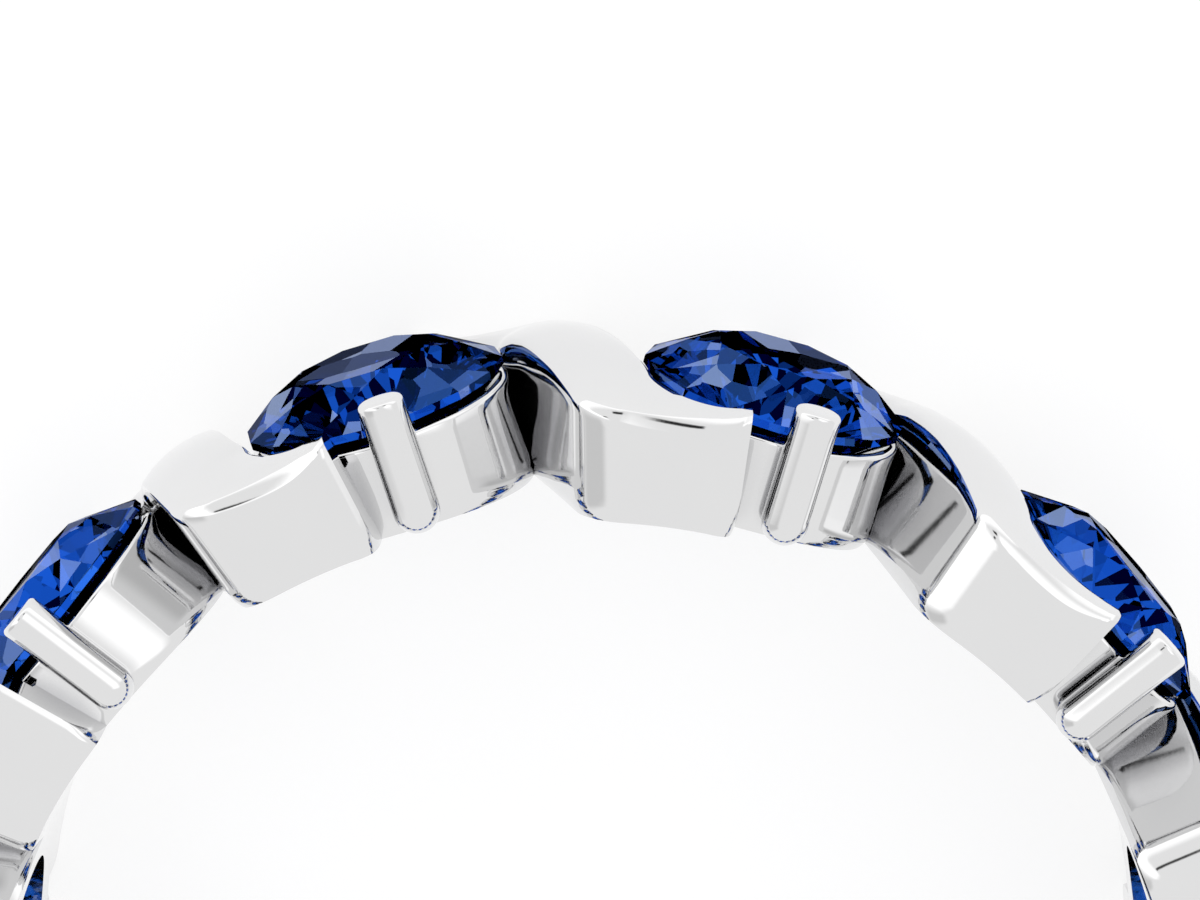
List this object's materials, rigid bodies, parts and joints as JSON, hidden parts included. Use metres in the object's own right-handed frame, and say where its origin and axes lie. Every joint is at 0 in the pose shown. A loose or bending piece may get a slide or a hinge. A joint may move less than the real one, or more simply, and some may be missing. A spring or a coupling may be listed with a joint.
{
  "type": "eternity ring",
  "caption": "Eternity ring: round deep blue stones in open cups with round prongs, joined all the way round by S-shaped links of polished white metal.",
  "frame": {"origin": "on the ring's axis, in the plane of the link faces that the ring rests on", "axes": "+Z along the ring's axis, up out of the surface that it lies on; +Y through the middle of one S-shaped link"},
  "size_m": [0.0212, 0.0211, 0.005],
  "materials": {
    "white_metal": "polished platinum or white gold",
    "sapphire": "polished deep blue gem, round brilliant cut"
  },
  "bodies": {
    "root": {"band": "white_metal", "sapphire_01": "sapphire", "sapphire_02": "sapphire", "sapphire_03": "sapphire", "sapphire_04": "sapphire", "sapphire_05": "sapphire", "sapphire_06": "sapphire", "sapphire_07": "sapphire", "sapphire_08": "sapphire", "sapphire_09": "sapphire", "sapphire_10": "sapphire", "sapphire_11": "sapphire"}
  },
  "joints": []
}
